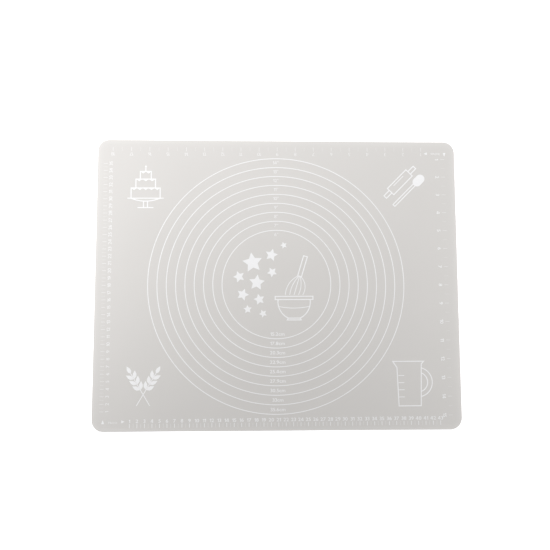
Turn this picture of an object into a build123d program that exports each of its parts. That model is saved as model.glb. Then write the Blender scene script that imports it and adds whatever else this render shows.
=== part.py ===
from build123d import *
import math
import os

# A silicone baking mat: one cut sheet of soft silicone that lies flat, and the white
# silicone ink printed on its top face. Each closed mark of ink is a thin solid seated
# face to face on the sheet. The numerals and words of the print are not modelled here.
# Millimetres. The origin is the middle of the underside, +X runs along the long side
# to the right of someone standing at the mat, and +Z points up.

# Units that the print is laid out in
centimetre = 10.0
inch = 25.4

# The cut sheet
sheet_length = 500.0
sheet_width = 400.0
sheet_thickness = 0.7
sheet_corner_radius = 16.0
sheet_edge_break = 0.15

# The print as a whole: it lies a little off the sheet's middle and out of square
ink_thickness = 0.06
print_shift_x = -2.0
print_shift_y = -2.0
print_turn = 0.28

# The border that the outer ends of all ticks keep to, from the cut edge
border_inset_x = 11.3
border_inset_y = 7.4

# Ticks of the four edge scales. The bottom scale is printed bolder than the other three.
tick_length = 5.5
bold_whole_tick_width = 0.8
bold_half_tick_width = 0.25
whole_tick_width = 0.38
half_tick_width = 0.15

# Where each scale starts and ends, from the border. A negative start lies beyond it.
bottom_scale_start = 30.3
left_scale_start = 12.0
top_scale_start = 7.8
right_scale_start = -8.5
metric_scale_end = 15.0
inch_scale_end = 10.0

# Arrows on both sides of a scale's unit word: one points up, one along the scale
metric_arrows_start = 4.9
inch_arrows_start = 0.0
arrow_spacing = 26.8
arrow_height_above_border = 8.6
inch_up_arrow_raise = 1.6
up_arrow_width = 3.8
up_arrow_height = 5.4
along_arrow_length = 4.6
along_arrow_width = 4.0

# Guide rings for rolling dough, each a true diameter less the line's own undersize
first_ring_diameter = 152.4
ring_diameter_step = 25.4
ring_undersize = 2.6
ring_line_width = 1.1
ring_clearance = 1.5
numeral_room = 8.0

# The pens of the drawings, and the middles of the corner drawings from the sheet's edges
drawing_line = 1.4
fine_line = 1.0
corner_drawing_inset_x = 69.3
corner_drawing_inset_y = 63.0

# Cake on a footed stand: each tier's half width and top as shares of the cake's size
cake_width = 50.0
cake_height = 60.0
cake_plate_share = 0.22
cake_tier_shares = ((0.40, 0.46), (0.27, 0.67), (0.15, 0.85))
cake_point_counts = (5, 3, 2)
cake_point_drop = 3.0
candle_height = 5.0
flame_width = 2.8
flame_height = 4.2
flame_waist_share = 0.35
dish_depth = 4.2
dish_half_share = 0.40
stem_width = 5.5
foot_half_share = 0.22

# Rolling pin and spoon, side by side across their corner
utensil_turn = 45.0
utensil_gap = 17.0
pin_barrel_length = 38.0
pin_barrel_width = 12.5
pin_handle_length = 11.0
pin_handle_width = 5.0
pin_shine_length = 20.0
pin_shine_share = 0.22
spoon_length = 60.0
spoon_bowl_length = 19.0
spoon_bowl_width = 12.5
spoon_handle_width = 3.6

# Two ears of wheat that cross: the grain's outline as shares of its half width and length
ear_lean = 31.0
ear_foot_spread = 9.0
ear_stem_length = 50.0
grain_length = 11.5
grain_width = 5.4
grain_shares = ((0.0, 0.0), (0.9, 0.3), (0.9, 0.6), (0.0, 1.0), (-0.9, 0.6), (-0.9, 0.3))
grain_spread = 32.0
grain_pitch = 8.4
grain_pairs = 3
grain_offset = 0.8

# Measuring jug: its outline from the foot round to the lip, as shares of its width and height
jug_width = 40.0
jug_height = 60.0
jug_body_shares = (
    (0.38, 0.0),
    (0.42, 0.94),
    (0.50, 1.0),
    (-0.56, 1.0),
    (-0.42, 0.86),
    (-0.38, 0.0),
)
jug_handle_outer_shares = ((0.30, 0.86), (0.78, 0.56), (0.30, 0.20))
jug_handle_inner_shares = ((0.30, 0.75), (0.62, 0.55), (0.30, 0.31))
jug_level_shares = (0.2, 0.36, 0.52, 0.68)
jug_level_length = 8.0
jug_level_inset = 3.5

# Mixing bowl with a whisk in it, right of the middle of the innermost ring
bowl_width = 48.0
bowl_height = 28.0
bowl_rim_width = 52.0
bowl_rim_height = 4.4
bowl_side_shares = ((0.46, 1.0), (0.385, 0.42), (0.17, 0.09))
bowl_foot_shares = ((-0.17, 0.09), (-0.20, 0.0), (0.20, 0.0), (0.17, 0.09))
bowl_stripe_shares = ((-0.44, 0.66), (0.0, 0.58), (0.44, 0.66))
bowl_middle_share = 0.32
bowl_base_share = -0.66
whisk_lean = 17.0
whisk_wire_reach = 27.0
whisk_wire_spread = 24.0
whisk_wire_count = 5
whisk_bulge_share = 0.4
whisk_neck_width = 3.6
whisk_handle_length = 29.0
whisk_handle_width = 5.4
whisk_clearance = 0.5

# Stars beside the bowl. Places go across from the innermost ring's left side to the bowl's rim
# and up from the ring's middle, as shares of that width and of the ring's radius. Then come
# each star's own radius, as a share of the ring's, and its turn.
star_point_count = 5
star_waist_share = 0.5
star_place_shares = (
    (0.575, 0.40, 0.190),
    (0.935, 0.54, 0.120),
    (0.320, 0.14, 0.110),
    (0.655, 0.03, 0.150),
    (0.945, 0.22, 0.095),
    (0.390, -0.19, 0.115),
    (0.700, -0.28, 0.105),
    (0.480, -0.46, 0.080),
    (0.770, -0.54, 0.075),
    (1.170, 0.72, 0.065),
)
star_turns = (8.0, -14.0, 20.0, -6.0, 30.0, -20.0, 14.0, 4.0, 26.0, 18.0)

# Worked out from the sizes above
border_half_x = sheet_length / 2 - border_inset_x
border_half_y = sheet_width / 2 - border_inset_y
corner_x = sheet_length / 2 - corner_drawing_inset_x
corner_y = sheet_width / 2 - corner_drawing_inset_y
first_ring_radius = (first_ring_diameter - ring_undersize) / 2
bowl_x = bowl_middle_share * first_ring_radius
bowl_y = bowl_base_share * first_ring_radius
print_place = Location((print_shift_x, print_shift_y, sheet_thickness), (0, 0, print_turn))


def inked(marks):
    """The marks as a film of ink on the sheet's top face."""
    return print_place * extrude(marks, ink_thickness)


def straight(start, end, line_width):
    """A straight pen line, cut square at both ends."""
    middle = ((start[0] + end[0]) / 2, (start[1] + end[1]) / 2)
    turn = math.degrees(math.atan2(end[1] - start[1], end[0] - start[0]))
    return Pos(*middle) * Rot(0, 0, turn) * Rectangle(math.dist(start, end), line_width)


def curved(start, middle, end, line_width):
    """A pen line along the arc through three points, cut square at both ends."""
    arc = ThreePointArc(start, middle, end)
    centre = arc.arc_center
    sides = []
    for reach in (arc.radius - line_width / 2, arc.radius + line_width / 2):
        scale = reach / arc.radius
        points = [centre + (Vector(*point) - centre) * scale for point in (start, middle, end)]
        sides.append(ThreePointArc(*points))
    inner, outer = sides
    return make_face([inner, Line(inner @ 0, outer @ 0), outer, Line(inner @ 1, outer @ 1)])


def outlined(area):
    """The pen line along an area's edge, half of it on each side."""
    half = drawing_line / 2
    return offset(area, half, kind=Kind.INTERSECTION) - offset(area, -half, kind=Kind.INTERSECTION)


def points_of(shares, width, height):
    """A drawing's points from their shares of its width and height."""
    return [(across * width, up * height) for across, up in shares]


def mirrored(points):
    """The same points on the other side of the drawing's upright axis, in reverse order."""
    return [(-x, y) for x, y in reversed(points)]


def joined(lines):
    """All lines of a drawing as one sketch."""
    return Sketch() + lines


def make_sheet():
    """The cut sheet: a flat plate with round corners, its edges broken all round."""
    plate = extrude(RectangleRounded(sheet_length, sheet_width, sheet_corner_radius), sheet_thickness)
    flat_faces = plate.faces().sort_by(Axis.Z)
    return chamfer(flat_faces[0].edges() + flat_faces[-1].edges(), sheet_edge_break)


def make_rings(corner_drawings):
    """As many guide rings as lie clear of the edge scales and of the corner drawings."""
    scale_room = min(border_half_x, border_half_y) - tick_length - numeral_room
    corner_room = min(drawing.distance_to(Vertex(0, 0, 0)) for drawing in corner_drawings)
    room = min(scale_room, corner_room) - ring_clearance
    rings = []
    radius = first_ring_radius
    while radius + ring_line_width / 2 <= room:
        rings.append(Circle(radius + ring_line_width / 2) - Circle(radius - ring_line_width / 2))
        radius += ring_diameter_step / 2
    return rings


def make_scale(turn, reach, ticks_y, start, end, unit, whole_width, half_width):
    """Whole and half ticks of one scale, along +X of the print turned by turn degrees."""
    first_x = start - reach
    count = math.floor((reach - end - first_x) / unit)
    whole_places = [first_x + n * unit for n in range(1, count + 1)]
    half_places = [x + unit / 2 for x in whole_places[:-1]]
    groups = []
    for places, width in ((whole_places, whole_width), (half_places, half_width)):
        tick = Rectangle(width, tick_length)
        groups.append(joined([Rot(0, 0, turn) * Pos(x, ticks_y) * tick for x in places]))
    return groups


def make_arrow(width, length):
    """A filled arrow that points along +X, about its middle."""
    back = -length / 2
    return Polygon((back, -width / 2), (length / 2, 0), (back, width / 2), align=None)


def make_arrows(turn, start, up_arrow_raise):
    """The arrow that points up and the one that points along the scale."""
    place = Rot(0, 0, turn) * Pos(start - border_half_x, arrow_height_above_border - border_half_y)
    up_arrow = Pos(0, up_arrow_raise) * Rot(0, 0, 90) * make_arrow(up_arrow_width, up_arrow_height)
    along_arrow = Pos(arrow_spacing, 0) * make_arrow(along_arrow_width, along_arrow_length)
    return place * joined([up_arrow, along_arrow])


def draw_cake():
    """Three tiers of cake edged with points of icing, with a candle, on a footed stand."""
    plate_y = cake_plate_share * cake_height
    lines = []
    low = plate_y
    for (half_share, top_share), point_count in zip(cake_tier_shares, cake_point_counts):
        half = half_share * cake_width
        high = top_share * cake_height
        lines.append(outlined(Pos(0, (low + high) / 2) * Rectangle(2 * half, high - low)))
        pitch = 2 * half / point_count
        for n in range(point_count):
            left = n * pitch - half
            tip = (left + pitch / 2, high - cake_point_drop)
            lines.append(Polygon((left, high), tip, (left + pitch, high), align=None))
        low = high
    flame_low = low + candle_height
    flame_middle = flame_low + flame_waist_share * flame_height
    lines.append(straight((0, low), (0, flame_low), drawing_line))
    lines.append(
        Polygon(
            (0, flame_low),
            (flame_width / 2, flame_middle),
            (0, flame_low + flame_height),
            (-flame_width / 2, flame_middle),
            align=None,
        )
    )

    half_plate = cake_width / 2
    dish_half = dish_half_share * cake_width
    foot_half = foot_half_share * cake_width
    dish_y = plate_y - dish_depth
    lines.append(straight((-half_plate, plate_y), (half_plate, plate_y), drawing_line))
    lines.append(curved((-dish_half, plate_y), (0, dish_y), (dish_half, plate_y), drawing_line))
    lines.append(outlined(Pos(0, dish_y / 2) * Rectangle(stem_width, dish_y)))
    lines.append(straight((-foot_half, 0), (foot_half, 0), drawing_line))
    return Pos(0, -cake_height / 2) * joined(lines)


def draw_rolling_pin():
    """A rolling pin: a barrel with a line of shine, and two handles."""
    barrel = Rectangle(pin_barrel_length, pin_barrel_width)
    handles = Rectangle(pin_barrel_length + 2 * pin_handle_length, pin_handle_width)
    shine_y = pin_shine_share * pin_barrel_width
    shine = straight((-pin_shine_length / 2, shine_y), (pin_shine_length / 2, shine_y), fine_line)
    return joined([outlined(barrel), outlined(handles) - barrel, shine])


def draw_spoon():
    """A wooden spoon: a rounded bowl, filled, on a straight handle."""
    bowl_x = (spoon_length - spoon_bowl_length) / 2
    bowl = Pos(bowl_x) * SlotOverall(spoon_bowl_length, spoon_bowl_width)
    handle_length = bowl_x + spoon_length / 2
    handle = Pos(bowl_x - handle_length / 2) * Rectangle(handle_length, spoon_handle_width)
    return joined([bowl, outlined(handle) - bowl])


def draw_ear():
    """One ear of wheat on its stem, upright, with its foot at the origin."""
    grain = Polygon(*points_of(grain_shares, grain_width / 2, grain_length), align=None)
    marks = [straight((0, 0), (0, ear_stem_length), fine_line)]
    for n in range(1, grain_pairs + 1):
        for side in (-1, 1):
            place = Pos(side * grain_offset, ear_stem_length - n * grain_pitch)
            marks.append(place * Rot(0, 0, -side * grain_spread) * grain)
    marks.append(Pos(0, ear_stem_length) * grain)
    return joined(marks)


def draw_wheat():
    """Two ears of wheat whose stems cross below."""
    ear = draw_ear()
    height = (ear_stem_length + grain_length) * math.cos(math.radians(ear_lean))
    ears = [Pos(-side * ear_foot_spread, 0) * Rot(0, 0, -side * ear_lean) * ear for side in (-1, 1)]
    return Pos(0, -height / 2) * joined(ears)


def draw_jug():
    """A measuring jug: a tapered body with a pouring lip, level marks and a handle."""
    body = Polygon(*points_of(jug_body_shares, jug_width, jug_height), align=None)
    handle = [
        curved(*points_of(shares, jug_width, jug_height), drawing_line)
        for shares in (jug_handle_outer_shares, jug_handle_inner_shares)
    ]
    level_x = jug_level_inset - jug_width / 2 + drawing_line
    levels = []
    for share in jug_level_shares:
        level_y = share * jug_height
        levels.append(straight((level_x, level_y), (level_x + jug_level_length, level_y), fine_line))
    return Pos(0, -jug_height / 2) * joined([outlined(body), joined(handle) - body, *levels])


def draw_bowl():
    """A mixing bowl: a rim band, round sides, a stripe and a foot, standing on y = 0."""
    side = points_of(bowl_side_shares, bowl_width, bowl_height)
    arcs = [ThreePointArc(*side), ThreePointArc(*mirrored(side))]
    body = make_face([*arcs, Line(arcs[0] @ 1, arcs[1] @ 0), Line(arcs[1] @ 1, arcs[0] @ 0)])
    rim = Pos(0, bowl_height + bowl_rim_height / 2) * Rectangle(bowl_rim_width, bowl_rim_height)
    foot = Polygon(*points_of(bowl_foot_shares, bowl_width, bowl_height), align=None)
    stripe = curved(*points_of(bowl_stripe_shares, bowl_width, bowl_height), fine_line)
    return joined([outlined(body), outlined(rim), outlined(foot), stripe])


def draw_whisk():
    """A whisk that leans in the bowl: its wires end just above the rim, at y = 0 here."""
    lean = math.radians(whisk_lean)
    along = Vector(math.sin(lean), math.cos(lean))
    across = Vector(math.cos(lean), -math.sin(lean))
    neck = along * whisk_wire_reach
    lines = []
    for n in range(whisk_wire_count):
        share = n / (whisk_wire_count - 1) - 0.5
        low = Vector(share * whisk_wire_spread, 0)
        high = neck + across * (share * whisk_neck_width)
        middle = (low + high) / 2 + across * (share * whisk_wire_spread * whisk_bulge_share)
        if share == 0:
            lines.append(straight((low.X, low.Y), (high.X, high.Y), fine_line))
        else:
            lines.append(curved((low.X, low.Y), (middle.X, middle.Y), (high.X, high.Y), fine_line))
    handle_middle = along * (whisk_wire_reach + whisk_handle_length / 2)
    handle = Rot(0, 0, 90 - whisk_lean) * Rectangle(whisk_handle_length, whisk_handle_width)
    handle = Pos(handle_middle.X, handle_middle.Y) * handle
    return joined([joined(lines) - handle, outlined(handle)])


def draw_stars():
    """Five-pointed stars of several sizes, filled."""
    field_width = first_ring_radius + bowl_x - bowl_rim_width / 2
    stars = []
    for (across_share, up_share, radius_share), turn in zip(star_place_shares, star_turns):
        radius = radius_share * first_ring_radius
        points = []
        for n in range(2 * star_point_count):
            reach = radius if n % 2 == 0 else radius * star_waist_share
            angle = math.radians(turn + 90 + 180 * n / star_point_count)
            points.append((reach * math.cos(angle), reach * math.sin(angle)))
        place = Pos(across_share * field_width - first_ring_radius, up_share * first_ring_radius)
        stars.append(place * Polygon(*points, align=None))
    return joined(stars)


def save(node, shape):
    shape.label = node
    export_step(shape, f"parts/{node}.step")


os.makedirs("parts", exist_ok=True)
save("mat_sheet", make_sheet())

utensils = Pos(corner_x, corner_y) * Rot(0, 0, utensil_turn)
corner_drawings = [
    Pos(-corner_x, corner_y) * draw_cake(),
    utensils * Pos(0, utensil_gap / 2) * draw_rolling_pin(),
    utensils * Pos(0, -utensil_gap / 2) * draw_spoon(),
    Pos(-corner_x, -corner_y) * draw_wheat(),
    Pos(corner_x, -corner_y) * draw_jug(),
]
whisk_y = bowl_y + bowl_height + bowl_rim_height + drawing_line + whisk_clearance
middle_drawings = [
    Pos(bowl_x, bowl_y) * draw_bowl(),
    Pos(bowl_x, whisk_y) * draw_whisk(),
    draw_stars(),
]
save("drawings", inked(joined(corner_drawings + middle_drawings)))

for number, ring in enumerate(make_rings(corner_drawings), start=1):
    save(f"guide_ring_{number}", inked(ring))

end_ticks_y = tick_length / 2 - border_half_y
side_ticks_y = border_half_x - tick_length / 2
bottom_layout = (0, border_half_x, end_ticks_y, bottom_scale_start, metric_scale_end, centimetre)
left_layout = (90, border_half_y, side_ticks_y, left_scale_start, metric_scale_end, centimetre)
top_layout = (180, border_half_x, end_ticks_y, top_scale_start, inch_scale_end, inch)
right_layout = (-90, border_half_y, side_ticks_y, right_scale_start, inch_scale_end, inch)
scales = {
    "bottom_scale": make_scale(*bottom_layout, bold_whole_tick_width, bold_half_tick_width),
    "left_scale": make_scale(*left_layout, whole_tick_width, half_tick_width),
    "top_scale": make_scale(*top_layout, whole_tick_width, half_tick_width),
    "right_scale": make_scale(*right_layout, whole_tick_width, half_tick_width),
}
for name, (whole_ticks, half_ticks) in scales.items():
    save(f"{name}_whole_ticks", inked(whole_ticks))
    save(f"{name}_half_ticks", inked(half_ticks))

save("metric_arrows", inked(make_arrows(0, metric_arrows_start, 0)))
save("inch_arrows", inked(make_arrows(180, inch_arrows_start, inch_up_arrow_raise)))
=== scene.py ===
import functools
import math

import bmesh
import bpy
import numpy as np
from mathutils import Matrix, Vector


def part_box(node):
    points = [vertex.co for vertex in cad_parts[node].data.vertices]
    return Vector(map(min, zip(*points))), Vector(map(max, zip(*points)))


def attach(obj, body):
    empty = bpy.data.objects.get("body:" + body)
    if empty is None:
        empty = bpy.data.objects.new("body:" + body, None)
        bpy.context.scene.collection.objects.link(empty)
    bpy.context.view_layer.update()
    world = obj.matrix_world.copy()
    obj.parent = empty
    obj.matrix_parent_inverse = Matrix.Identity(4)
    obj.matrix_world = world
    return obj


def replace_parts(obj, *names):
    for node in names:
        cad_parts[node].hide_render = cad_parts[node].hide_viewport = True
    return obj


# A silicone baking mat, printed in white, as it lies on a table top. model.glb gives the cut sheet's box
# and every mark of the print that the mat was modelled with. Here the sheet gets its soft relief, the
# print is laid over it, and the numerals, sizes and words are added.
# Metres. The origin is the middle of the sheet's underside, +X runs along its long side.

bl_info = {
    "name": "Silicone baking mat",
    "version": (1, 0, 0),
    "blender": (4, 5, 0),
    "location": "3D View > Sidebar > Baking mat",
    "description": "Lays a printed silicone baking mat on a table under soft lamps",
    "category": "Object",
}

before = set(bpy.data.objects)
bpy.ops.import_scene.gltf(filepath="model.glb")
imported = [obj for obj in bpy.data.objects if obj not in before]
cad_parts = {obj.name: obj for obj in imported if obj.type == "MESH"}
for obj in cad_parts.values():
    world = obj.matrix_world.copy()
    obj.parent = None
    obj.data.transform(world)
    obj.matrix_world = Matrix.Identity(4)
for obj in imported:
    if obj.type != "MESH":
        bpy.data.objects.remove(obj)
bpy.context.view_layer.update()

mm = 0.001
inch = 25.4 * mm
centimetre = 10 * mm

sheet_low, sheet_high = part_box("mat_sheet")
ink_low, ink_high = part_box("guide_ring_1")
sheet_length = sheet_high.x - sheet_low.x
sheet_width = sheet_high.y - sheet_low.y
sheet_thickness = sheet_high.z - sheet_low.z
ink_thickness = ink_high.z - ink_low.z
print_nodes = sorted(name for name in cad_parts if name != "mat_sheet")

# The plain letters, at size 1: a capital's height, the width of a bar, and steps along a curve
plain_height = 0.682
plain_bar_width = 0.098
plain_curve_steps = 4

# The sheet's mesh: steps along a corner's arc, and points along each quarter circle of the edge
corner_steps = 16
edge_points = 5

# The angle that the slow wave along a long edge has at x = 0: the front edge, the back edge
front_wave_start = 0.9
back_wave_start = -1.6

# Points of a mark closer than this are one point, and a corner less sharp than this looks smooth
merge_distance = 0.001 * mm
sharp_corner = math.radians(40)

# Gap under the mat, so that its underside and the table top are not one surface
table_gap = 0.03 * mm

# The camera's sensor, in millimetres, and the nearest thing that it shows
sensor_width = 36.0
nearest_shown = 10 * mm

# The finish that each of the mat's material slots gets
finishes = {"silicone": "matte_silicone", "print_ink": "screen_printed_ink"}

# Both finishes are silicone, which bends light by this much
silicone_ior = 1.41

# Fine grain: how much finer its second noise is than its first, and how high it is beside it
second_grain_finer = 4.0
second_grain_share = 0.4

# How many finer layers the noise of the slow patches has
patch_layers = 3.0

# The sheet's finish: slow patches, cast grain, and roughness with the most that a patch adds
sheet_patches = {"Patches per metre": 14.0, "Share": 0.03}
sheet_grain = {"Grains per metre": 900.0}
sheet_grain_strength = 0.25
sheet_grain_depth = 0.05 * mm
sheet_roughness = 0.5
sheet_patch_roughness = 0.10

# The ink's finish in the same order: small patches, the screen's grain, and roughness
ink_patches = {"Patches per metre": 160.0, "Share": 0.05}
ink_grain = {"Grains per metre": 2500.0}
ink_grain_strength = 0.3
ink_grain_depth = 0.02 * mm
ink_roughness = 0.35
ink_patch_roughness = 0.15


class MatSheetSettings(bpy.types.PropertyGroup):
    """The cut sheet and how it lies."""

    corner_radius: bpy.props.FloatProperty(
        name="Corner radius",
        description="Radius of the sheet's four cut corners",
        default=16 * mm,
        unit="LENGTH",
    )
    edge_rounding: bpy.props.FloatProperty(
        name="Edge rounding",
        description="Radius along the upper and lower cut edges",
        default=0.25 * mm,
        unit="LENGTH",
    )
    grid_pitch: bpy.props.FloatProperty(
        name="Grid pitch",
        description="Distance between the points of the sheet's two faces",
        default=5 * mm,
        unit="LENGTH",
    )
    end_lift: bpy.props.FloatProperty(
        name="End lift",
        description="How far the two short ends stand up, as a sheet does that was stored rolled",
        default=0.4 * mm,
        unit="LENGTH",
    )
    corner_lifts: bpy.props.FloatVectorProperty(
        name="Corner lifts",
        description="How far the corners stand up: front left, front right, back left, back right",
        default=(0.4 * mm, 0.3 * mm, 0.6 * mm, 0.4 * mm),
        size=4,
        unit="LENGTH",
    )
    wave_height: bpy.props.FloatProperty(
        name="Wave height",
        description="Height of the slow waves along the two long edges",
        default=0.35 * mm,
        unit="LENGTH",
    )
    wave_length: bpy.props.FloatProperty(
        name="Wave length",
        description="Distance from one wave to the next along a long edge",
        default=230 * mm,
        unit="LENGTH",
    )


class MatPrintSettings(bpy.types.PropertyGroup):
    """The white print: where it lies and how large its lettering is."""

    shift: bpy.props.FloatVectorProperty(
        name="Shift",
        description="How far the print's middle lies from the sheet's middle",
        default=(-2 * mm, -2 * mm),
        size=2,
        unit="LENGTH",
    )
    turn: bpy.props.FloatProperty(
        name="Turn",
        description="How far the print lies out of square with the sheet",
        default=math.radians(0.28),
        unit="ROTATION",
    )
    metric_numeral_height: bpy.props.FloatProperty(
        name="Metric numeral height",
        description="Height of the figures on the centimetre scales",
        default=4.4 * mm,
        unit="LENGTH",
    )
    inch_numeral_height: bpy.props.FloatProperty(
        name="Inch numeral height",
        description="Height of the figures on the inch scales",
        default=4.5 * mm,
        unit="LENGTH",
    )
    ring_label_height: bpy.props.FloatProperty(
        name="Ring size height",
        description="Height of the figures of the ring sizes",
        default=4.4 * mm,
        unit="LENGTH",
    )
    metric_word_height: bpy.props.FloatProperty(
        name="Metric word height",
        description="Height of the capital in the word beside the centimetre scales' arrows",
        default=3.0 * mm,
        unit="LENGTH",
    )
    inch_word_height: bpy.props.FloatProperty(
        name="Inch word height",
        description="Height of the capital in the word beside the inch scales' arrows",
        default=3.5 * mm,
        unit="LENGTH",
    )
    letter_stretch: bpy.props.FloatProperty(
        name="Letter stretch",
        description="How much wider the letters are than the plain letters they are made from",
        default=1.14,
    )
    letter_gap: bpy.props.FloatProperty(
        name="Letter gap",
        description="Gap between two letters, as a share of the letters' own size",
        default=0.06,
    )
    strong_stroke: bpy.props.FloatProperty(
        name="Strong stroke",
        description="How far a strong letter's outline stands out, as a share of the letters' own size",
        default=0.013,
    )
    fine_stroke: bpy.props.FloatProperty(
        name="Fine stroke",
        description="How far a fine letter's outline stands out, as a share of the letters' own size",
        default=-0.008,
    )
    faint_stroke: bpy.props.FloatProperty(
        name="Faint stroke",
        description="How far a faint letter's outline stands out, as a share of the letters' own size",
        default=-0.018,
    )
    longest_edge: bpy.props.FloatProperty(
        name="Longest edge",
        description="Longest edge of a mark, so that it follows the sheet's relief",
        default=6 * mm,
        unit="LENGTH",
    )


class MatColourSettings(bpy.types.PropertyGroup):
    """Colours of the sheet, the painted light at its cut edge, its print and the table top."""

    silicone: bpy.props.FloatVectorProperty(
        name="Silicone",
        description="Warm light grey of the silicone, away from the edges",
        default=(0.611, 0.595, 0.578),
        size=3,
        subtype="COLOR",
    )
    # Painted light: a paler grey at the cut edge that stands in for light coming into the translucent
    # silicone through its edge
    silicone_edge: bpy.props.FloatVectorProperty(
        name="Silicone at the edge",
        description="Paler grey at the cut edge itself, where light comes in from the side",
        default=(0.668, 0.651, 0.634),
        size=3,
        subtype="COLOR",
    )
    # How far in from the cut edge the painted edge light fades
    edge_reach: bpy.props.FloatProperty(
        name="Edge reach",
        description="Distance from the cut edge within which most of the paler grey fades",
        default=4 * mm,
        unit="LENGTH",
    )
    ink: bpy.props.FloatVectorProperty(
        name="Ink",
        description="White of the printed silicone ink",
        default=(0.815, 0.813, 0.82),
        size=3,
        subtype="COLOR",
    )
    table_top: bpy.props.FloatVectorProperty(
        name="Table top",
        description="White of the table that the mat lies on",
        default=(0.85, 0.85, 0.85),
        size=3,
        subtype="COLOR",
    )


class StageSettings(bpy.types.PropertyGroup):
    """Camera, lamps, room and table."""

    camera_place: bpy.props.FloatVectorProperty(
        name="Camera place",
        description="Where the camera stands",
        default=(-32.9 * mm, -74.8 * mm, 875.2 * mm),
        subtype="TRANSLATION",
        unit="LENGTH",
    )
    camera_aim: bpy.props.FloatVectorProperty(
        name="Camera aim",
        description="Point of the table that the camera looks at",
        default=(-4.1 * mm, 10.6 * mm, 0),
        subtype="TRANSLATION",
        unit="LENGTH",
    )
    camera_roll: bpy.props.FloatProperty(
        name="Camera roll",
        description="Turn of the camera about its line of sight",
        default=math.radians(0.14),
        unit="ROTATION",
    )
    camera_lens: bpy.props.FloatProperty(
        name="Camera lens",
        description="Focal length in millimetres for a sensor 36 millimetres wide",
        default=41.74,
    )
    back_lamp_place: bpy.props.FloatVectorProperty(
        name="Back lamp place",
        description="Where the middle of the large soft lamp behind the mat is",
        default=(-0.15, 0.82, 0.71),
        subtype="TRANSLATION",
        unit="LENGTH",
    )
    back_lamp_width: bpy.props.FloatProperty(
        name="Back lamp width",
        description="Width and height of the back lamp's panel",
        default=0.9,
        unit="LENGTH",
    )
    back_lamp_power: bpy.props.FloatProperty(
        name="Back lamp power",
        description="Power of the back lamp in watts",
        default=12.3,
    )
    left_lamp_place: bpy.props.FloatVectorProperty(
        name="Left lamp place",
        description="Where the middle of the low lamp beside the left end is",
        default=(-0.46, 0.018, 0.2),
        subtype="TRANSLATION",
        unit="LENGTH",
    )
    left_lamp_power: bpy.props.FloatProperty(
        name="Left lamp power",
        description="Power of the left lamp in watts",
        default=0.66,
    )
    right_lamp_place: bpy.props.FloatVectorProperty(
        name="Right lamp place",
        description="Where the middle of the low lamp beside the right end is",
        default=(0.479, -0.06, 0.2),
        subtype="TRANSLATION",
        unit="LENGTH",
    )
    right_lamp_power: bpy.props.FloatProperty(
        name="Right lamp power",
        description="Power of the right lamp in watts",
        default=0.48,
    )
    side_lamp_length: bpy.props.FloatProperty(
        name="Side lamp length",
        description="Length of the left and the right lamp's panel",
        default=0.5,
        unit="LENGTH",
    )
    side_lamp_width: bpy.props.FloatProperty(
        name="Side lamp width",
        description="Height of the left and the right lamp's panel",
        default=0.2,
        unit="LENGTH",
    )
    room_light: bpy.props.FloatProperty(
        name="Room light",
        description="Level of the even light that comes from all round",
        default=0.347,
    )
    table_width: bpy.props.FloatProperty(
        name="Table width",
        description="Width and depth of the table top that shows",
        default=12.0,
        unit="LENGTH",
    )
    table_glow: bpy.props.FloatProperty(
        name="Table glow",
        description="How much paler the table top shows than it is lit, so that it shows white",
        default=0.7,
    )


def settings():
    """The mat's settings in this scene."""
    return bpy.context.scene.baking_mat


class BakingMatSettings(bpy.types.PropertyGroup):
    """All settings of the mat."""

    sheet: bpy.props.PointerProperty(type=MatSheetSettings)
    print: bpy.props.PointerProperty(type=MatPrintSettings)
    colours: bpy.props.PointerProperty(type=MatColourSettings)
    stage: bpy.props.PointerProperty(type=StageSettings)


def lift_of(x, y):
    """How far the sheet stands up from the table at each point.

    Three gentle parts are added. The short ends rise with the sixth power of the way out. Each
    corner rises with the fourth power of the product of both ways out. A slow cosine wave runs
    along each long edge and fades with the fourth power towards the middle.
    """
    sheet = settings().sheet
    out_x = np.abs(x) / (sheet_length / 2)
    out_y = np.abs(y) / (sheet_width / 2)
    front_left, front_right, back_left, back_right = sheet.corner_lifts
    front_lift = np.where(x < 0, front_left, front_right)
    back_lift = np.where(x < 0, back_left, back_right)
    corner_lift = np.where(y < 0, front_lift, back_lift)
    wave_start = np.where(y < 0, front_wave_start, back_wave_start)
    wave = 0.5 + 0.5 * np.cos(math.tau * x / sheet.wave_length + wave_start)
    ends = sheet.end_lift * out_x**6
    corners = corner_lift * (out_x * out_y)**4
    return ends + corners + sheet.wave_height * wave * out_y**4


def inset_from_edge(x, y):
    """How far inside the cut edge each point is.

    It is the distance to a rectangle with round corners: from the corner's centre lines outwards
    the distance to the corner's arc, and elsewhere the distance to the nearer side.
    """
    radius = settings().sheet.corner_radius
    across = np.abs(x) - (sheet_length / 2 - radius)
    up = np.abs(y) - (sheet_width / 2 - radius)
    outside = np.hypot(np.maximum(across, 0), np.maximum(up, 0))
    inside = np.minimum(np.maximum(across, up), 0)
    return radius - outside - inside


def quads(rows):
    """The four corners of every cell of a grid of point numbers, in turn round the cell."""
    corners = (rows[:-1, :-1], rows[:-1, 1:], rows[1:, 1:], rows[1:, :-1])
    return np.stack(corners, axis=-1).reshape(-1, 4)


def mesh_from(name, points, faces):
    """A mesh from whole arrays of points and of faces with the same number of corners."""
    mesh = bpy.data.meshes.new(name)
    corner_count = faces.shape[1]
    mesh.vertices.add(len(points))
    mesh.vertices.foreach_set("co", points.astype(np.float32).ravel())
    mesh.loops.add(faces.size)
    mesh.loops.foreach_set("vertex_index", faces.astype(np.int32).ravel())
    mesh.polygons.add(len(faces))
    mesh.polygons.foreach_set("loop_start", np.arange(len(faces), dtype=np.int32) * corner_count)
    mesh.polygons.foreach_set("use_smooth", np.ones(len(faces), dtype=bool))
    mesh.update(calc_edges=True)
    mesh.validate()
    return mesh


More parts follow.
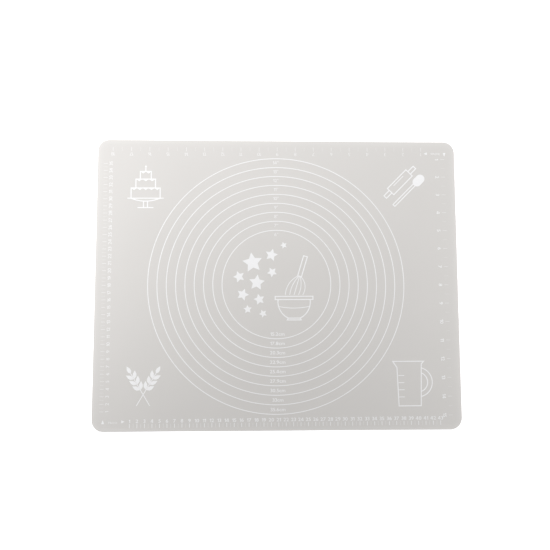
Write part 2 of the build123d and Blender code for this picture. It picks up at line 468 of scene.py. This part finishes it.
def sheet_mesh():
    """The sheet as one closed surface: two faces and the rounded edge between them.

    A face is a grid. Its rows run across the sheet from side to side, and each row is as long as
    the outline with round corners is wide there. The edge is a profile of two quarter circles,
    carried round the face's rim along the outline's outward direction.
    """
    sheet = settings().sheet
    rounding = sheet.edge_rounding
    half_x = sheet_length / 2 - rounding
    half_y = sheet_width / 2 - rounding
    radius = sheet.corner_radius - rounding
    straight = half_y - radius

    row_steps = round(2 * straight / sheet.grid_pitch)
    column_steps = round(2 * half_x / sheet.grid_pitch)
    corner_rows = straight + radius * np.sin(np.linspace(0, math.pi / 2, corner_steps + 1))
    middle_rows = np.linspace(-straight, straight, row_steps + 1)[1:-1]
    rows = np.concatenate([-corner_rows[::-1], middle_rows, corner_rows])
    shares = np.linspace(-1, 1, column_steps + 1)
    side_share = 1 - 2 * rounding / half_x
    shares = np.concatenate([[-1, -side_share], shares[1:-1], [side_share, 1]])
    past_straight = np.maximum(np.abs(rows) - straight, 0)
    widths = half_x - radius + np.sqrt(np.maximum(radius**2 - past_straight**2, 0))
    face_x = widths[:, None] * shares[None, :]
    face_y = np.repeat(rows[:, None], len(shares), axis=1)

    numbers = np.arange(face_x.size).reshape(face_x.shape)
    rim = np.concatenate([numbers[0, :-1], numbers[:-1, -1], numbers[-1, :0:-1], numbers[:0:-1, 0]])
    rim_x = face_x.ravel()[rim]
    rim_y = face_y.ravel()[rim]
    out_x = np.maximum(np.abs(rim_x) - (half_x - radius), 0)
    out_y = np.maximum(np.abs(rim_y) - (half_y - radius), 0)
    length = np.hypot(out_x, out_y)
    out_x = np.sign(rim_x) * out_x / length
    out_y = np.sign(rim_y) * out_y / length

    arc = np.linspace(0, math.pi / 2, edge_points)
    outs = rounding * np.concatenate([np.sin(arc)[1:], np.cos(arc)[:-1]])
    upper_arc = sheet_thickness - rounding + rounding * np.cos(arc)[1:]
    lower_arc = rounding - rounding * np.sin(arc)[:-1]
    ups = np.concatenate([upper_arc, lower_arc])
    edge_x = rim_x[None, :] + out_x[None, :] * outs[:, None]
    edge_y = rim_y[None, :] + out_y[None, :] * outs[:, None]
    edge_z = np.repeat(ups[:, None], len(rim), axis=1)

    face_z = np.zeros(face_x.size)
    x = np.concatenate([face_x.ravel(), face_x.ravel(), edge_x.ravel()])
    y = np.concatenate([face_y.ravel(), face_y.ravel(), edge_y.ravel()])
    z = np.concatenate([face_z + sheet_thickness, face_z, edge_z.ravel()])
    points = np.column_stack([x, y, z + lift_of(x, y)])

    edge_numbers = 2 * numbers.size + np.arange(edge_x.size).reshape(edge_x.shape)
    edge_rows = np.vstack([rim, edge_numbers, rim + numbers.size])
    edge_rows = np.column_stack([edge_rows, edge_rows[:, 0]])
    faces = np.vstack([quads(numbers), quads(numbers[:, ::-1] + numbers.size), quads(edge_rows[::-1])])
    mesh = mesh_from("silicone_sheet", points, faces)
    inset = mesh.attributes.new("edge_inset", "FLOAT", "POINT")
    inset.data.foreach_set("value", np.maximum(inset_from_edge(x, y), 0).astype(np.float32))
    return mesh


def finished(name, mesh, slot):
    """A new piece of the mat, in the finish of its material slot, that lies still with the mat."""
    piece = bpy.data.objects.new(name, mesh)
    bpy.context.scene.collection.objects.link(piece)
    mesh.materials.clear()
    mesh.materials.append(bpy.data.materials[finishes[slot]])
    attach(piece, "root")
    return piece


def shorten_edges(shape, longest):
    """Halves the edges of a mark until none is longer than the longest one allowed."""
    long_edges = [edge for edge in shape.edges if edge.calc_length() > longest]
    while long_edges:
        bmesh.ops.subdivide_edges(shape, edges=long_edges, cuts=1)
        bmesh.ops.triangulate(shape, faces=[face for face in shape.faces if len(face.verts) > 3])
        long_edges = [edge for edge in shape.edges if edge.calc_length() > longest]


def laid_print(name, shape):
    """A mark of ink made from a flat one: merged, its edges short and sharp, and laid on the sheet."""
    bmesh.ops.remove_doubles(shape, verts=shape.verts, dist=merge_distance)
    shorten_edges(shape, settings().print.longest_edge)
    mesh = bpy.data.meshes.new(name)
    for edge in shape.edges:
        edge.smooth = edge.calc_face_angle(0) < sharp_corner
    for face in shape.faces:
        face.smooth = True
    shape.to_mesh(mesh)
    shape.free()
    points = np.empty(3 * len(mesh.vertices), dtype=np.float32)
    mesh.vertices.foreach_get("co", points)
    points = points.reshape(-1, 3)
    points[:, 2] += lift_of(points[:, 0], points[:, 1])
    mesh.vertices.foreach_set("co", points.ravel())
    mesh.update()
    piece = finished(name, mesh, "print_ink")
    piece["printed"] = True
    return piece


def prism(outline, cells, rims):
    """A flat shape carried up from z = 0 to 1: its points, and its faces as lists.

    The shape's cells are the faces that it is divided into, and its rims are its closed outlines.
    Both are lists of point numbers. Each edge of a rim becomes a wall.
    """
    outline = np.array(outline)
    count = len(outline)
    points = np.vstack([np.column_stack([outline, np.full(count, level)]) for level in (0, 1)])
    below = [cell[::-1] for cell in cells]
    above = [[number + count for number in cell] for cell in cells]
    walls = [
        [first, second, second + count, first + count]
        for rim in rims
        for first, second in zip(rim, rim[1:] + rim[:1])
    ]
    return points, below + above + walls


def figure_one(stroke):
    """The figure one: a bar with a short slanting flag."""
    half = plain_bar_width / 2 + stroke
    top = plain_height + stroke
    flag_reach = plain_height / 5
    flag_drop = plain_height / 6
    flag_thickness = plain_height / 8 + stroke
    outline = [
        (-half, -stroke),
        (half, -stroke),
        (half, top),
        (0, top),
        (-half - flag_reach, plain_height - flag_drop),
        (-half - flag_reach, plain_height - flag_drop - flag_thickness),
        (-half, plain_height - 2 * flag_thickness),
    ]
    whole = list(range(len(outline)))
    return prism(outline, [whole], [whole])


def figure_four(stroke):
    """The figure four: an upright, a thinner crossbar and a slanting bar round an open triangle.

    The triangle's slanting side is parallel to the outer one, a crossbar's thickness inside it.
    """
    width = 0.72 * plain_height
    upright = plain_bar_width + 2 * stroke
    upright_middle = 0.7 * width
    left = upright_middle - upright / 2
    right = left + upright
    crossbar = 0.8 * upright
    crossbar_middle = 0.24 * plain_height
    low = crossbar_middle - crossbar / 2
    high = low + crossbar
    top = plain_height + stroke
    top_width = 1.35 * upright
    top_left = right - top_width
    slope = (top - high) / (top_left + stroke)
    inner_left = crossbar * math.hypot(1, slope) / slope - stroke
    inner_top = high + (left - inner_left) * slope
    outline = [
        (left, -stroke),
        (right, -stroke),
        (right, low),
        (width + stroke, low),
        (width + stroke, high),
        (right, high),
        (right, top),
        (top_left, top),
        (-stroke, high),
        (-stroke, low),
        (left, low),
        (left, high),
        (left, inner_top),
        (inner_left, high),
    ]
    foot = [0, 1, 2, 10]
    crossing = [10, 2, 5, 11]
    crossbar_end = [2, 3, 4, 5]
    head = [11, 5, 6, 12]
    head_corner = [12, 6, 7]
    slant = [13, 12, 7, 8]
    crossbar_start = [9, 10, 11, 13, 8]
    cells = [foot, crossing, crossbar_end, head, head_corner, slant, crossbar_start]
    return prism(outline, cells, [list(range(11)), [11, 13, 12]])


@functools.cache
def glyph(character, stroke):
    """One character of the plain letters, from z = 0 to 1: its points, and its faces as lists.

    A positive stroke moves the outline out and makes the character bolder. The plain letters'
    figure one is a bare bar and their figure four can't be made bolder, so both are made here.
    """
    if character == "1":
        return figure_one(stroke)
    if character == "4":
        return figure_four(stroke)
    curve = bpy.data.curves.new("glyph", "FONT")
    curve.body = character
    curve.extrude = 0.5
    curve.offset = stroke
    curve.resolution_u = plain_curve_steps
    holder = bpy.data.objects.new("glyph", curve)
    bpy.context.scene.collection.objects.link(holder)
    bpy.context.view_layer.update()
    finished_holder = holder.evaluated_get(bpy.context.evaluated_depsgraph_get())
    mesh = bpy.data.meshes.new_from_object(finished_holder)
    points = np.empty(3 * len(mesh.vertices), dtype=np.float32)
    mesh.vertices.foreach_get("co", points)
    points = points.reshape(-1, 3) + [0, 0, 0.5]
    faces = [list(face.vertices) for face in mesh.polygons]
    bpy.data.objects.remove(holder)
    bpy.data.curves.remove(curve)
    bpy.data.meshes.remove(mesh)
    return points, faces


def letters(words, height, stroke):
    """Words of the given height, laid out glyph after glyph: their points, and their faces as lists.

    They stand on y = 0, with their middle at x = 0. The letters are a little wider than the
    plain ones, and are as thick as the ink, from z = 0 up.
    """
    layout = settings().print
    parts = []
    faces = []
    count = 0
    left = 0
    for character in words:
        points, glyph_faces = glyph(character, stroke)
        moved = points + [left - points[:, 0].min(), 0, 0]
        left = moved[:, 0].max() + layout.letter_gap
        parts.append(moved)
        faces.extend([number + count for number in face] for face in glyph_faces)
        count += len(points)
    scale = height / plain_height
    points = np.vstack(parts) - [(left - layout.letter_gap) / 2, 0, 0]
    return points * [scale * layout.letter_stretch, scale, ink_thickness], faces


def placed(points, turn, x, y):
    """Points moved to a place of the print, which is then turned, and put where the print lies."""
    layout = settings().print
    place = Matrix.Rotation(math.radians(turn), 3, "Z")
    print_turn = Matrix.Rotation(layout.turn, 3, "Z")
    moved = (points + [x, y, 0]) @ np.array(print_turn @ place).T
    return moved + [layout.shift[0], layout.shift[1], sheet_thickness]


def lettered_piece(name, marks):
    """One piece from many placed words: all their points in one array, laid on the sheet."""
    points = np.concatenate([mark_points for mark_points, _ in marks])
    starts = np.cumsum([0] + [len(mark_points) for mark_points, _ in marks[:-1]])
    faces = [
        [number + start for number in face]
        for start, (_, mark_faces) in zip(starts, marks)
        for face in mark_faces
    ]
    mesh = bpy.data.meshes.new(name)
    mesh.from_pydata(points.tolist(), [], faces)
    shape = bmesh.new()
    shape.from_mesh(mesh)
    bpy.data.meshes.remove(mesh)
    bmesh.ops.remove_doubles(shape, verts=shape.verts, dist=merge_distance)
    bmesh.ops.recalc_face_normals(shape, faces=shape.faces)
    return laid_print(name, shape)


# The four edge scales. Each is laid out along +X and then turned. Its values are the turn in
# degrees, where its zero is, the line that its figures stand on, its last figure, its unit, and
# how strong its figures are.
scales = {
    "bottom": (0, -208.4 * mm, -185.7 * mm, 43, centimetre, "strong_stroke"),
    "left": (90, -180.6 * mm, 226.4 * mm, 35, centimetre, "fine_stroke"),
    "top": (180, -230.9 * mm, -185.0 * mm, 18, inch, "faint_stroke"),
    "right": (-90, -201.1 * mm, 225.4 * mm, 15, inch, "strong_stroke"),
}

# The unit words beside the arrows: the turn in degrees, the word's middle, and its line
unit_words = {
    "Metric": (0, -220.4 * mm, -186.6 * mm),
    "Inches": (180, -225.7 * mm, -185.0 * mm),
}

# The guide rings' sizes: inches inside each ring's top, centimetres inside its lowest point.
# The drop and the rise are from the ring's line to the line that the figures stand on.
first_ring_inches = 6
ring_count = sum(name.startswith("guide_ring") for name in print_nodes)
ring_undersize = 1.3 * mm
inch_label_drop = 8.2 * mm
metric_label_rise = 4.2 * mm
metric_label_shift = 0.7 * mm


def math_node(tree, operation, first, second=None):
    """A Math node of two links or plain numbers, and its result."""
    node = tree.nodes.new("ShaderNodeMath")
    node.operation = operation
    for socket, value in zip(node.inputs, (first, second)):
        if isinstance(value, bpy.types.NodeSocket):
            tree.links.new(value, socket)
        elif value is not None:
            socket.default_value = value
    return node.outputs[0]


def fine_grain_group():
    """Fine grain of a cast or printed silicone surface: a noise, and a share of a finer one."""
    tree = bpy.data.node_groups.new("fine_grain", "ShaderNodeTree")
    tree.interface.new_socket("Vector", in_out="INPUT", socket_type="NodeSocketVector")
    tree.interface.new_socket("Grains per metre", in_out="INPUT", socket_type="NodeSocketFloat")
    tree.interface.new_socket("Height", in_out="OUTPUT", socket_type="NodeSocketFloat")
    start = tree.nodes.new("NodeGroupInput")
    end = tree.nodes.new("NodeGroupOutput")
    coarse = tree.nodes.new("ShaderNodeTexNoise")
    fine = tree.nodes.new("ShaderNodeTexNoise")
    tree.links.new(start.outputs["Vector"], coarse.inputs["Vector"])
    tree.links.new(start.outputs["Vector"], fine.inputs["Vector"])
    tree.links.new(start.outputs["Grains per metre"], coarse.inputs["Scale"])
    finer = math_node(tree, "MULTIPLY", start.outputs["Grains per metre"], second_grain_finer)
    tree.links.new(finer, fine.inputs["Scale"])
    fine_height = math_node(tree, "MULTIPLY", fine.outputs["Fac"], second_grain_share)
    height = math_node(tree, "ADD", coarse.outputs["Fac"], fine_height)
    tree.links.new(height, end.inputs["Height"])
    return tree


def mottling_group():
    """Slow, faint changes of tone: patches of a colour over a range that is a share of it."""
    tree = bpy.data.node_groups.new("slow_mottling", "ShaderNodeTree")
    tree.interface.new_socket("Vector", in_out="INPUT", socket_type="NodeSocketVector")
    tree.interface.new_socket("Color", in_out="INPUT", socket_type="NodeSocketColor")
    tree.interface.new_socket("Patches per metre", in_out="INPUT", socket_type="NodeSocketFloat")
    tree.interface.new_socket("Share", in_out="INPUT", socket_type="NodeSocketFloat")
    tree.interface.new_socket("Color", in_out="OUTPUT", socket_type="NodeSocketColor")
    tree.interface.new_socket("Patches", in_out="OUTPUT", socket_type="NodeSocketFloat")
    start = tree.nodes.new("NodeGroupInput")
    end = tree.nodes.new("NodeGroupOutput")
    noise = tree.nodes.new("ShaderNodeTexNoise")
    noise.inputs["Detail"].default_value = patch_layers
    tree.links.new(start.outputs["Vector"], noise.inputs["Vector"])
    tree.links.new(start.outputs["Patches per metre"], noise.inputs["Scale"])
    centred = math_node(tree, "SUBTRACT", noise.outputs["Fac"], 0.5)
    swing = math_node(tree, "MULTIPLY", centred, start.outputs["Share"])
    factor = math_node(tree, "ADD", swing, 1.0)
    scaled = tree.nodes.new("ShaderNodeVectorMath")
    scaled.operation = "SCALE"
    tree.links.new(start.outputs["Color"], scaled.inputs["Vector"])
    tree.links.new(factor, scaled.inputs["Scale"])
    tree.links.new(scaled.outputs["Vector"], end.inputs["Color"])
    tree.links.new(noise.outputs["Fac"], end.inputs["Patches"])
    return tree


def new_material(name):
    """A material with its shader, its node tree and the object's own coordinates."""
    material = bpy.data.materials.new(name)
    material.use_nodes = True
    tree = material.node_tree
    shader = tree.nodes["Principled BSDF"]
    coordinates = tree.nodes.new("ShaderNodeTexCoord").outputs["Object"]
    return tree, shader, coordinates


def placed_group(tree, group, coordinates, values):
    """A shader group in a material, reading the coordinates, with its own values."""
    node = tree.nodes.new("ShaderNodeGroup")
    node.node_tree = group
    tree.links.new(coordinates, node.inputs["Vector"])
    for name, value in values.items():
        node.inputs[name].default_value = value
    return node


def grain_bump(tree, grain, coordinates, values, strength, depth):
    """The fine grain as a bump of the surface: how strong it shows, and how deep it is."""
    grained = placed_group(tree, grain, coordinates, values)
    bump = tree.nodes.new("ShaderNodeBump")
    bump.inputs["Strength"].default_value = strength
    bump.inputs["Distance"].default_value = depth
    tree.links.new(grained.outputs["Height"], bump.inputs["Height"])
    return bump.outputs["Normal"]


def silicone_material(grain, mottling):
    """Matte warm grey silicone, with painted light that makes it paler towards the cut edge, and a fine
    cast grain.
    """
    colours = settings().colours
    tree, shader, coordinates = new_material(finishes["silicone"])

    # Painted light: the base colour turns to the paler edge grey near the cut edge, standing in for light
    # that comes in through the translucent edge
    inset = tree.nodes.new("ShaderNodeAttribute")
    inset.attribute_name = "edge_inset"
    reaches_inside = math_node(tree, "DIVIDE", inset.outputs["Fac"], -colours.edge_reach)
    painted_edge_light_share = math_node(tree, "EXPONENT", reaches_inside)
    mix = tree.nodes.new("ShaderNodeMix")
    mix.data_type = "RGBA"
    mix.inputs["A"].default_value = (*colours.silicone, 1)
    mix.inputs["B"].default_value = (*colours.silicone_edge, 1)
    tree.links.new(painted_edge_light_share, mix.inputs["Factor"])
    mottled = placed_group(tree, mottling, coordinates, sheet_patches)
    tree.links.new(mix.outputs["Result"], mottled.inputs["Color"])
    tree.links.new(mottled.outputs["Color"], shader.inputs["Base Color"])

    normal = grain_bump(tree, grain, coordinates, sheet_grain, sheet_grain_strength, sheet_grain_depth)
    tree.links.new(normal, shader.inputs["Normal"])
    rougher = math_node(tree, "MULTIPLY", mottled.outputs["Patches"], sheet_patch_roughness)
    tree.links.new(math_node(tree, "ADD", rougher, sheet_roughness), shader.inputs["Roughness"])
    shader.inputs["IOR"].default_value = silicone_ior


def ink_material(grain, mottling):
    """White silicone ink, printed through a screen: satin, with a faint unevenness."""
    colours = settings().colours
    tree, shader, coordinates = new_material(finishes["print_ink"])
    mottled = placed_group(tree, mottling, coordinates, ink_patches)
    mottled.inputs["Color"].default_value = (*colours.ink, 1)
    tree.links.new(mottled.outputs["Color"], shader.inputs["Base Color"])
    normal = grain_bump(tree, grain, coordinates, ink_grain, ink_grain_strength, ink_grain_depth)
    tree.links.new(normal, shader.inputs["Normal"])
    rougher = math_node(tree, "MULTIPLY", mottled.outputs["Patches"], ink_patch_roughness)
    tree.links.new(math_node(tree, "ADD", rougher, ink_roughness), shader.inputs["Roughness"])
    shader.inputs["IOR"].default_value = silicone_ior


def seen_directly(tree):
    """One for rays from the camera, a reflection or glass, and zero for light on its way."""
    path = tree.nodes.new("ShaderNodeLightPath")
    seen = math_node(tree, "MAXIMUM", path.outputs["Is Camera Ray"], path.outputs["Is Glossy Ray"])
    return math_node(tree, "MAXIMUM", seen, path.outputs["Is Transmission Ray"])


def table_material():
    """A plain white table top that shows a little paler than it is lit."""
    tree, shader, _ = new_material("white_table_top")
    shader.inputs["Base Color"].default_value = (*settings().colours.table_top, 1)
    shader.inputs["Roughness"].default_value = 1.0
    shader.inputs["Specular IOR Level"].default_value = 0.0
    shader.inputs["Emission Color"].default_value = (1, 1, 1, 1)
    glow = math_node(tree, "MULTIPLY", seen_directly(tree), settings().stage.table_glow)
    tree.links.new(glow, shader.inputs["Emission Strength"])


class BAKINGMAT_OT_mix_finishes(bpy.types.Operator):
    """Makes the finishes of the silicone, the ink and the table top"""

    bl_idname = "bakingmat.mix_finishes"
    bl_label = "Mix the finishes"

    def execute(self, context):
        grain = fine_grain_group()
        mottling = mottling_group()
        silicone_material(grain, mottling)
        ink_material(grain, mottling)
        table_material()
        return {"FINISHED"}


def soft_lamp(name, place, size, power):
    """A rectangular lamp that faces the mat's middle. Neither it nor its mirror image shows."""
    data = bpy.data.lights.new(name, "AREA")
    data.shape = "RECTANGLE"
    data.size, data.size_y = size
    data.energy = power
    lamp = bpy.data.objects.new(name, data)
    lamp.location = place
    lamp.rotation_euler = (-Vector(place)).to_track_quat("-Z", "Y").to_euler()
    lamp.visible_camera = False
    lamp.visible_glossy = False
    bpy.context.scene.collection.objects.link(lamp)


class BAKINGMAT_OT_set_stage(bpy.types.Operator):
    """Sets up the table top, the light and the camera"""

    bl_idname = "bakingmat.set_stage"
    bl_label = "Set the stage"

    def execute(self, context):
        stage = settings().stage
        half = stage.table_width / 2
        corners = np.array([[-half, -half], [half, -half], [half, half], [-half, half]])
        points = np.column_stack([corners, np.full(4, -table_gap)])
        table_mesh = mesh_from("table_top", points, np.arange(4).reshape(1, 4))
        table = bpy.data.objects.new("table_top", table_mesh)
        table.data.materials.append(bpy.data.materials["white_table_top"])
        context.scene.collection.objects.link(table)

        back_size = (stage.back_lamp_width, stage.back_lamp_width)
        side_size = (stage.side_lamp_length, stage.side_lamp_width)
        soft_lamp("back_lamp", stage.back_lamp_place, back_size, stage.back_lamp_power)
        soft_lamp("left_lamp", stage.left_lamp_place, side_size, stage.left_lamp_power)
        soft_lamp("right_lamp", stage.right_lamp_place, side_size, stage.right_lamp_power)

        world = bpy.data.worlds.new("room")
        context.scene.world = world
        world.use_nodes = True
        tree = world.node_tree
        background = tree.nodes["Background"]
        seen = seen_directly(tree)
        unseen = math_node(tree, "SUBTRACT", 1.0, seen)
        unseen_light = math_node(tree, "MULTIPLY", unseen, stage.room_light)
        strength = math_node(tree, "ADD", unseen_light, seen)
        tree.links.new(strength, background.inputs["Strength"])
        background.inputs["Color"].default_value = (1, 1, 1, 1)

        camera_data = bpy.data.cameras.new("camera")
        camera_data.sensor_width = sensor_width
        camera_data.lens = stage.camera_lens
        camera_data.clip_start = nearest_shown
        camera = bpy.data.objects.new("camera", camera_data)
        forward = (Vector(stage.camera_aim) - Vector(stage.camera_place)).normalized()
        up = Vector((0, 1, 0))
        up = (up - forward * up.dot(forward)).normalized()
        up = Matrix.Rotation(stage.camera_roll, 3, forward) @ up
        axes = Matrix((forward.cross(up), up, -forward)).transposed()
        camera.matrix_world = Matrix.Translation(stage.camera_place) @ axes.to_4x4()
        context.scene.collection.objects.link(camera)
        context.scene.camera = camera
        context.scene.view_settings.view_transform = "Standard"
        return {"FINISHED"}


class BAKINGMAT_OT_print_marks(bpy.types.Operator):
    """Lays the guide rings, ticks, arrows and drawings on the sheet's relief"""

    bl_idname = "bakingmat.print_marks"
    bl_label = "Print rings, ticks and drawings"

    def execute(self, context):
        for name in print_nodes:
            shape = bmesh.new()
            shape.from_mesh(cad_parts[name].data)
            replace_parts(laid_print(f"printed_{name}", shape), name)
        return {"FINISHED"}


class BAKINGMAT_OT_print_numerals(bpy.types.Operator):
    """Prints the figures of the four edge scales and their unit words"""

    bl_idname = "bakingmat.print_numerals"
    bl_label = "Print scale numerals"

    def execute(self, context):
        layout = settings().print
        for name, (turn, zero, feet, last, unit, strength) in scales.items():
            height = layout.metric_numeral_height if unit == centimetre else layout.inch_numeral_height
            marks = []
            for number in range(1, last + 1):
                points, faces = letters(str(number), height, getattr(layout, strength))
                marks.append((placed(points, turn, zero + number * unit, feet), faces))
            lettered_piece(f"{name}_numerals", marks)
        word_heights = (layout.metric_word_height, layout.inch_word_height)
        for height, (word, (turn, middle, feet)) in zip(word_heights, unit_words.items()):
            points, faces = letters(word, height, layout.fine_stroke)
            lettered_piece(f"word_{word.lower()}", [(placed(points, turn, middle, feet), faces)])
        return {"FINISHED"}


class BAKINGMAT_OT_print_ring_sizes(bpy.types.Operator):
    """Prints each guide ring's diameter, in inches at its top and in centimetres at its foot"""

    bl_idname = "bakingmat.print_ring_sizes"
    bl_label = "Print ring sizes"

    def execute(self, context):
        layout = settings().print
        inch_marks = []
        metric_marks = []
        for ring in range(ring_count):
            inches = first_ring_inches + ring
            diameter = inches * inch
            radius = diameter / 2 - ring_undersize
            points, faces = letters(f'{inches}"', layout.ring_label_height, layout.fine_stroke)
            inch_marks.append((placed(points, 0, 0, radius - inch_label_drop), faces))
            centimetres = f"{diameter / centimetre:.1f}".removesuffix(".0")
            points, faces = letters(f"{centimetres}cm", layout.ring_label_height, layout.strong_stroke)
            metric_marks.append((placed(points, 0, metric_label_shift, metric_label_rise - radius), faces))
        lettered_piece("ring_sizes_in_inches", inch_marks)
        lettered_piece("ring_sizes_in_centimetres", metric_marks)
        return {"FINISHED"}


class BAKINGMAT_OT_lay_sheet(bpy.types.Operator):
    """Lays the silicone sheet under its print"""

    bl_idname = "bakingmat.lay_sheet"
    bl_label = "Lay the sheet"

    def execute(self, context):
        sheet = finished("silicone_sheet", sheet_mesh(), "silicone")
        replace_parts(sheet, "mat_sheet")
        return {"FINISHED"}


class BAKINGMAT_PT_panel(bpy.types.Panel):
    """The steps that make the mat, in order, and its settings"""

    bl_idname = "BAKINGMAT_PT_panel"
    bl_label = "Baking mat"
    bl_space_type = "VIEW_3D"
    bl_region_type = "UI"
    bl_category = "Baking mat"

    def draw(self, context):
        column = self.layout.column()
        for step in steps:
            column.operator(step.bl_idname)
        mat = settings()
        for group in (mat.sheet, mat.print, mat.colours, mat.stage):
            for name in group.bl_rna.properties.keys():
                if name not in ("rna_type", "name"):
                    column.prop(group, name)


setting_groups = (
    MatSheetSettings,
    MatPrintSettings,
    MatColourSettings,
    StageSettings,
    BakingMatSettings,
)
steps = (
    BAKINGMAT_OT_mix_finishes,
    BAKINGMAT_OT_set_stage,
    BAKINGMAT_OT_print_marks,
    BAKINGMAT_OT_print_numerals,
    BAKINGMAT_OT_print_ring_sizes,
    BAKINGMAT_OT_lay_sheet,
)


def register():
    """Adds the mat's settings, its steps and their panel to Blender."""
    for part in (*setting_groups, *steps, BAKINGMAT_PT_panel):
        bpy.utils.register_class(part)
    bpy.types.Scene.baking_mat = bpy.props.PointerProperty(type=BakingMatSettings)


def unregister():
    """Takes them out again."""
    del bpy.types.Scene.baking_mat
    for part in reversed((*setting_groups, *steps, BAKINGMAT_PT_panel)):
        bpy.utils.unregister_class(part)


def main():
    register()
    bpy.ops.bakingmat.mix_finishes()
    bpy.ops.bakingmat.set_stage()
    bpy.ops.bakingmat.print_marks()
    bpy.ops.bakingmat.print_numerals()
    bpy.ops.bakingmat.print_ring_sizes()
    bpy.ops.bakingmat.lay_sheet()


if __name__ == "__main__":
    main()
